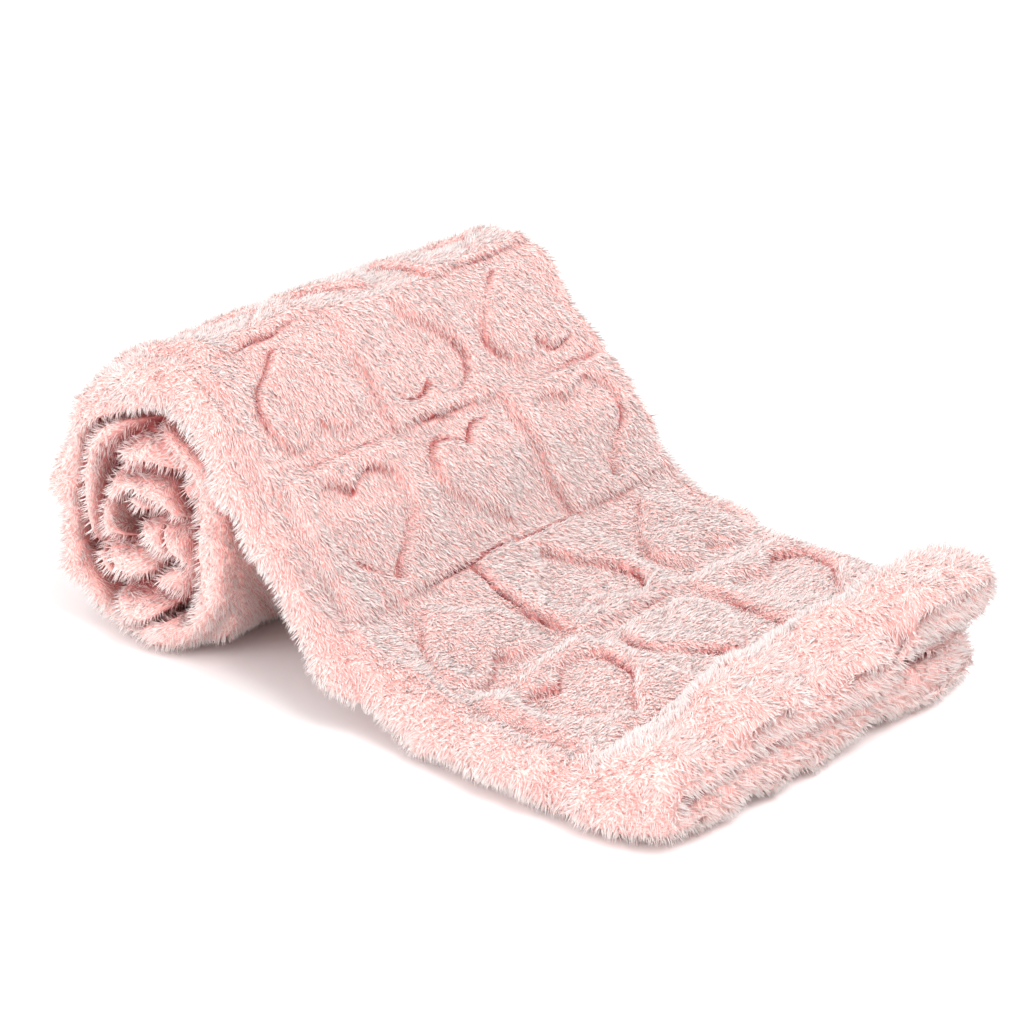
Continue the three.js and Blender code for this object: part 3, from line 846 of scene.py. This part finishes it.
class Wire:
    """One number that flows through a tree, with the usual arithmetic on it."""

    def __init__(self, nodes, socket):
        self.nodes, self.socket = nodes, socket

    def calculate(self, operation, *values):
        sockets = {f"in{i}": value for i, value in enumerate(values)}
        node = self.nodes.add("ShaderNodeMath", {"operation": operation}, **sockets)
        return Wire(self.nodes, node.outputs[0])

    def __add__(self, other):
        return self.calculate("ADD", self, other)

    def __sub__(self, other):
        return self.calculate("SUBTRACT", self, other)

    def __rsub__(self, other):
        return self.calculate("SUBTRACT", other, self)

    def __mul__(self, other):
        return self.calculate("MULTIPLY", self, other)

    def __truediv__(self, other):
        return self.calculate("DIVIDE", self, other)

    def __rtruediv__(self, other):
        return self.calculate("DIVIDE", other, self)

    def clamped(self):
        node = self.nodes.add("ShaderNodeClamp", in0=self)
        return Wire(self.nodes, node.outputs[0])

    __radd__ = __add__
    __rmul__ = __mul__


# %% [markdown]
# A hair's way is the cloth's normal, plus the nap, a pull to the middle of its clump, a push and
# a stray, and it never lies flatter than a set amount. The shading normals lean towards the
# cloth's own and upwards, so that the pile takes the light as one soft surface.

# %% A tree for the hairs
PUSH = 0.7
STRAY = 0.2
LEAST_UPRIGHT = 0.28
SHORTEST, LONGEST = 0.72, 1.18
LIFT = 1.4


def pile_tree():
    """Inputs: the cloth and the numbers named below. Output: real hairs with their finish."""
    tree = bpy.data.node_groups.new("pile", "GeometryNodeTree")
    face = tree.interface
    face.new_socket("Geometry", in_out="INPUT", socket_type="NodeSocketGeometry")
    for name, kind in (
        ("Hairs per square metre", "Float"),
        ("Hair radius", "Float"),
        ("Clump size", "Float"),
        ("Clump strength", "Float"),
        ("Softness", "Float"),
        ("Seed", "Int"),
        ("Finish", "Material"),
    ):
        face.new_socket(name, in_out="INPUT", socket_type=f"NodeSocket{kind}")
    face.new_socket("Geometry", in_out="OUTPUT", socket_type="NodeSocketGeometry")
    n = Nodes(tree)
    given = n.add("NodeGroupInput").outputs

    def attribute(name, kind):
        return n.add("GeometryNodeInputNamedAttribute", {"data_type": kind}, name=name).outputs[0]

    def vector(operation, a, b):
        second = "in3" if operation == "SCALE" else "in1"
        node = n.add("ShaderNodeVectorMath", {"operation": operation}, in0=a, **{second: b})
        return node.outputs["Value" if operation == "DOT_PRODUCT" else "Vector"]

    def store(geometry, name, value, kind="FLOAT", domain="POINT"):
        settings = {"data_type": kind, "domain": domain}
        sockets = {"geometry": geometry, "name": name, "value": value}
        return n.add("GeometryNodeStoreNamedAttribute", settings, **sockets).outputs[0]

    def random_number(low, high, seed):
        settings = {"data_type": "FLOAT"}
        node = n.add("FunctionNodeRandomValue", settings, min=low, max=high, seed=seed)
        return node.outputs[1]

    cover = Wire(n, attribute("cover", "FLOAT"))
    scatter = n.add(
        "GeometryNodeDistributePointsOnFaces",
        {"distribute_method": "RANDOM"},
        mesh=given["Geometry"],
        density=cover * Wire(n, given["Hairs per square metre"]),
        seed=given["Seed"],
    )
    place = n.add("GeometryNodeInputPosition").outputs[0]
    size = 1.0 / Wire(n, given["Clump size"])
    noise_3d = {"noise_dimensions": "3D"}
    clumps = n.add("ShaderNodeTexNoise", noise_3d, vector=place, scale=size, detail=1.5)
    middle = vector("SUBTRACT", clumps.outputs["Color"], (0.5, 0.5, 0.5))
    length = Wire(n, attribute("hair_length", "FLOAT"))
    bent = vector("ADD", place, vector("SCALE", middle, given["Clump size"]))
    cells = n.add("ShaderNodeTexVoronoi", {"feature": "F1"}, vector=bent, scale=size)
    to_middle = vector("SUBTRACT", cells.outputs["Position"], bent)
    pull = vector("SCALE", to_middle, Wire(n, given["Clump strength"]) / length)
    push = vector("ADD", pull, vector("SCALE", middle, PUSH))
    low, high, seed = (-STRAY,) * 3, (STRAY,) * 3, given["Seed"]
    three = {"data_type": "FLOAT_VECTOR"}
    stray = n.add("FunctionNodeRandomValue", three, min=low, max=high, seed=seed).outputs[0]
    leaning = vector("SCALE", attribute("nap", "FLOAT_VECTOR"), attribute("lean", "FLOAT"))
    standing = store(scatter.outputs["Points"], "stand", scatter.outputs["Normal"], "FLOAT_VECTOR")
    # Each hair's distance from its clump's middle, kept for the painted shade in the gaps between
    # clumps.
    parted = store(standing, "gap", cells.outputs["Distance"])
    stand = attribute("stand", "FLOAT_VECTOR")
    way = vector("ADD", vector("ADD", stand, leaning), vector("ADD", push, stray))
    upright = Wire(n, vector("DOT_PRODUCT", way, stand))
    lacking = upright.calculate("MAXIMUM", LEAST_UPRIGHT - upright, 0.0)
    way = vector("ADD", way, vector("SCALE", stand, lacking))
    turned = n.add("FunctionNodeAlignRotationToVector", {"axis": "Z"}, vector=way).outputs[0]
    spin = random_number(0.0, 6.283, 11)
    about = n.add("FunctionNodeAxisAngleToRotation", in0=(0.0, 0.0, 1.0), in1=spin).outputs[0]
    local = {"rotation_space": "LOCAL"}
    rotation = n.add("FunctionNodeRotateRotation", local, in0=turned, in1=about).outputs[0]
    sizes = {"radius_bottom": given["Hair radius"], "radius_top": 0.0, "depth": 1.0}
    counts = {"vertices": 3, "side_segments": 1, "fill_segments": 1}
    hair = n.add("GeometryNodeMeshCone", {"fill_type": "NGON"}, **counts, **sizes).outputs["Mesh"]
    marked = store(hair, "up_hair", n.add("ShaderNodeSeparateXYZ", in0=place).outputs["Z"])
    tall = length * Wire(n, random_number(SHORTEST, LONGEST, 5))
    scale = n.add("ShaderNodeCombineXYZ", in0=1.0, in1=1.0, in2=tall).outputs[0]
    sockets = {"points": parted, "instance": marked, "rotation": rotation, "scale": scale}
    planted = n.add("GeometryNodeInstanceOnPoints", **sockets).outputs[0]
    shaded = store(planted, "shade", random_number(0.0, 1.0, 23), domain="INSTANCE")
    real = n.add("GeometryNodeRealizeInstances", in0=shaded).outputs[0]
    own = n.add("GeometryNodeInputNormal").outputs[0]
    eased = vector("ADD", vector("SCALE", stand, given["Softness"]), own)
    eased = vector("ADD", eased, (0.0, 0.0, LIFT))
    soft = n.add("GeometryNodeSetShadeSmooth", in0=real).outputs[0]
    soft = n.add("GeometryNodeSetMeshNormal", {"mode": "FREE"}, in0=soft, custom_normal=eased)
    finish = given["Finish"]
    finished = n.add("GeometryNodeSetMaterial", in0=soft.outputs[0], material=finish).outputs[0]
    n.add("NodeGroupOutput", in0=finished)
    return tree


pile_nodes = pile_tree()
print("pile tree:", len(pile_nodes.nodes), "nodes")

# %% [markdown]
# ## Colour of the pile
#
# Each hair is a dusty pink that goes from a deep rose at its root to a pale tip. The deep root is
# painted shade, for light that has passed through much pile and comes out redder. That gradient,
# and a little difference from hair to hair, does most of the work. Hairs in a crease, shut in by
# cloth or at the edges of their clump get deeper painted shade still.

# %% Finish of the hairs and of the backing
# Painted shade: the deep rose at the hairs' roots stands in for light that has come through much
# pile.
ROOT_SHADE_COLOUR = (0.82, 0.38, 0.35, 1)
BODY_COLOUR = (0.94, 0.73, 0.69, 1)
TIP_COLOUR = (0.97, 0.86, 0.83, 1)
# Deeper pink for random patches, and painted shade in the gaps between clumps of hairs.
PATCH_AND_GAP_SHADE_COLOUR = (0.90, 0.55, 0.51, 1)
# The backing's deeper rose: painted shade in the valleys of its knit streaks, where the bump sinks.
BACKING_VALLEY_SHADE_COLOUR = (0.80, 0.36, 0.33, 1)
# Painted shade in the creases of the pattern and the folds at the roll's end.
CREASE_SHADE_COLOUR = (0.32, 0.05, 0.05, 1)
# Painted shade where the cloth is shut in by other cloth.
SHUT_IN_SHADE_COLOUR = (0.60, 0.16, 0.15, 1)


SOFT_FIBRES = {
    "Specular IOR Level": 0.0,
    "Subsurface Weight": 0.5,
    "Subsurface Radius": (1.0, 0.75, 0.7),
    "Subsurface Scale": 0.003,
}


def new_finish(name):
    material = bpy.data.materials.new(name)
    material.use_nodes = True
    material.node_tree.nodes.clear()
    return material, Nodes(material.node_tree)


def number(n, name):
    return Wire(n, n.add("ShaderNodeAttribute", {"attribute_name": name}).outputs["Fac"])


def blend_colours(n, share, a, b):
    return n.add("ShaderNodeMix", {"data_type": "RGBA"}, in0=share, in6=a, in7=b).outputs[2]


def plush_surface(n, **sockets):
    surface = n.add("ShaderNodeBsdfPrincipled", **sockets)
    for name, value in SOFT_FIBRES.items():
        surface.inputs[name].default_value = value
    n.add("ShaderNodeOutputMaterial", surface=surface.outputs[0])


hair_finish, n = new_finish("plush_hair")
up = number(n, "up_hair")
shade = number(n, "shade")
place = n.add("ShaderNodeTexCoord").outputs["Object"]
patches = Wire(n, n.add("ShaderNodeTexNoise", vector=place, scale=38.0, detail=2.0).outputs["Fac"])
# Painted shade: each hair's lower half goes deep rose towards the root.
lower_half_root_shade = blend_colours(n, (up * 2.4).clamped(), ROOT_SHADE_COLOUR, BODY_COLOUR)
whole = blend_colours(n, (up * 1.7 - 0.62).clamped(), lower_half_root_shade, TIP_COLOUR)
# Painted shade: hairs far from their clump's middle, in the gaps, go deeper pink. The noise patches
# and the random value per hair are the pile's own uneven tone.
gap = (number(n, "gap") * 1.6 - 0.35).clamped() * (1 - up * 0.5)
patch_and_gap_shade = ((patches * 1.4 - 0.45 + shade * 0.3).clamped() * 0.3 + gap * 0.5).clamped()
# Painted shade on hairs in a crease or fold, deepest towards the root.
deep = (number(n, "crease") * (1.2 - up * 1.1)).clamped()
# Painted shade on hairs shut in by cloth, deepest towards the root.
shut = ((number(n, "shut_in") * 2.3 - 0.34).clamped() * (1.1 - up * 0.45)).clamped()
whole = blend_colours(n, patch_and_gap_shade, whole, PATCH_AND_GAP_SHADE_COLOUR)
whole = blend_colours(n, shut, whole, SHUT_IN_SHADE_COLOUR)
whole = blend_colours(n, deep, whole, CREASE_SHADE_COLOUR)
plush_surface(n, base_color=whole, roughness=0.85)

backing_finish, n = new_finish("plush_backing")
place = n.add("ShaderNodeUVMap", {"uv_map": "along_cloth"}).outputs["UV"]
flat_noise = {"noise_dimensions": "2D"}
wave = n.add("ShaderNodeTexNoise", flat_noise, vector=place, scale=60.0, detail=1.0)
wave = wave.outputs["Color"]
bent = n.add("ShaderNodeVectorMath", {"operation": "SCALE"}, in0=wave, scale=0.006).outputs[0]
shifted = n.add("ShaderNodeVectorMath", {"operation": "ADD"}, in0=place, in1=bent).outputs[0]
drawn = n.add("ShaderNodeMapping", vector=shifted, scale=(420.0, 1700.0, 1.0)).outputs[0]
streaks = n.add("ShaderNodeTexNoise", flat_noise, vector=drawn, scale=1.0, detail=2.0)
knit = Wire(n, streaks.outputs["Fac"])
# Painted shade: where the knit streaks sink in the bump, the backing goes deep rose. The streaks
# themselves are the backing's own texture.
ground = blend_colours(n, (knit * 2.6 - 0.95).clamped(), BACKING_VALLEY_SHADE_COLOUR, BODY_COLOUR)
# Painted shade on the backing where it is shut in by cloth.
ground = blend_colours(n, (number(n, "shut_in") * 2.3 - 0.3).clamped(), ground, SHUT_IN_SHADE_COLOUR)
# Painted shade on the backing in creases and folds.
ground = blend_colours(n, number(n, "crease").clamped() * 0.9, ground, CREASE_SHADE_COLOUR)
bump = n.add("ShaderNodeBump", strength=0.7, distance=0.0012, height=knit).outputs[0]
plush_surface(n, base_color=ground, roughness=0.95, normal=bump)
cloth.data.materials.append(backing_finish)
print("finishes:", hair_finish.name, backing_finish.name)

# %% Plant the hairs
HAIR_RADIUS = 0.36 * MM
MOST_HAIRS = 48500
SOFTNESS = 3.0
LOWEST = 0.2 * MM


def region(name, outer_share, inner_share, clump, strength, seed):
    """A piece of the pile: hairs on the part of the cloth where the shares are above nought."""
    write_attribute("cover", "FLOAT", cover_out * outer_share, cover_in * inner_share)
    areas = np.zeros(len(mesh.polygons))
    mesh.polygons.foreach_get("area", areas)
    cover = np.zeros(len(mesh.vertices))
    mesh.attributes["cover"].data.foreach_get("value", cover)
    covered = sum(a * cover[p.vertices[0]] for a, p in zip(areas, mesh.polygons))
    density = MOST_HAIRS / covered
    grower = bpy.data.objects.new(name + "_grower", mesh)
    bpy.context.scene.collection.objects.link(grower)
    modifier = grower.modifiers.new("pile", "NODES")
    modifier.node_group = pile_nodes
    inputs = [item for item in pile_nodes.interface.items_tree if item.in_out == "INPUT"]
    sockets = {item.name: item.identifier for item in inputs}
    for label, value in (
        ("Hairs per square metre", float(density)),
        ("Hair radius", HAIR_RADIUS),
        ("Clump size", clump),
        ("Clump strength", strength),
        ("Softness", SOFTNESS),
        ("Seed", seed),
        ("Finish", hair_finish),
    ):
        modifier[sockets[label]] = value
    bpy.context.view_layer.update()
    evaluated = grower.evaluated_get(bpy.context.evaluated_depsgraph_get())
    grown = bpy.data.meshes.new_from_object(evaluated)
    grown.name = name
    for extra in ("nap", "lean", "stand", "cover", "hair_length"):
        if extra in grown.attributes:
            grown.attributes.remove(grown.attributes[extra])
    places = np.zeros(len(grown.vertices) * 3, np.float32)
    grown.vertices.foreach_get("co", places)
    places[2::3] = np.maximum(places[2::3], LOWEST)
    grown.vertices.foreach_set("co", places)
    piece = bpy.data.objects.new(name, grown)
    bpy.context.scene.collection.objects.link(piece)
    bpy.data.objects.remove(grower)
    mesh.attributes.remove(mesh.attributes["cover"])
    print(name, len(grown.polygons), "faces,", round(density / 1e4), "hairs per cm2")
    return piece


TAIL_END = 245
top_face = top_share * (1 - np.maximum(near_fold_share, far_fold_share))
tail_share = smooth(TAIL_END + 1, TAIL_END - 1, along_grid)
ends = np.clip(hem_share * (along_grid < 42) + roll_end_share, 0, 1)
sides = 1 - np.clip(top_face, 0, 1)
nothing = np.zeros(face_in.shape[:2])
everything = np.ones(face_in.shape[:2])
fine = {"clump": 4.5 * MM, "strength": 0.35}
coarse = {"clump": 7 * MM, "strength": 0.5}
pile = [
    region("pile_of_tail", top_face * tail_share * (1 - ends), nothing, **fine, seed=1),
    region("pile_of_roll", top_face * (1 - tail_share) * (1 - ends), nothing, **fine, seed=2),
    region("pile_of_sides", sides * (1 - ends), nothing, **coarse, seed=3),
    region("pile_of_ends", ends, everything, **coarse, seed=4),
]

# %% [markdown]
# ## Floor and light
#
# A pale floor, a large soft light above the tail and a lower one at the near side, with a white
# surrounding that fills the shadows.

# %% Floor and light
FLOOR_HALF = 6
FLOOR_GAP = 0.6 * MM
WORLD_STRENGTH = 1.1
corners = [(x * FLOOR_HALF, y * FLOOR_HALF, 0) for x, y in ((-1, -1), (1, -1), (1, 1), (-1, 1))]
floor_mesh = bpy.data.meshes.new("floor")
floor_mesh.from_pydata(corners, [], [(0, 1, 2, 3)])
floor = bpy.data.objects.new("floor", floor_mesh)
floor.location.z = -FLOOR_GAP
bpy.context.scene.collection.objects.link(floor)
floor_finish, n = new_finish("pale_floor")
surface = n.add("ShaderNodeBsdfPrincipled", base_color=(0.90, 0.90, 0.90, 1), roughness=0.9)
n.add("ShaderNodeOutputMaterial", surface=surface.outputs[0])
floor.data.materials.append(floor_finish)

world = bpy.data.worlds.new("studio")
bpy.context.scene.world = world
world.use_nodes = True
background = world.node_tree.nodes["Background"]
background.inputs["Color"].default_value = (1, 1, 1, 1)
background.inputs["Strength"].default_value = WORLD_STRENGTH
bpy.context.scene.view_settings.view_transform = "Standard"


def soft_light(name, place, aim, size, power):
    light = bpy.data.objects.new(name, bpy.data.lights.new(name, "AREA"))
    light.data.size = size
    light.data.energy = power
    light.location = place
    light.rotation_euler = (Vector(aim) - Vector(place)).to_track_quat("-Z", "Y").to_euler()
    bpy.context.scene.collection.objects.link(light)


soft_light("key", (1.2, -0.2, 1.8), (0.05, 0, 0.06), 1.2, 39)
soft_light("fill", (-0.6, -1.8, 0.55), (-0.1, 0, 0.06), 1.0, 26)
print("lights placed")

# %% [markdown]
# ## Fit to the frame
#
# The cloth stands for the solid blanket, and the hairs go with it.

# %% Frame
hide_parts("blanket")
for piece in [cloth, *pile]:
    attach(piece, "root")
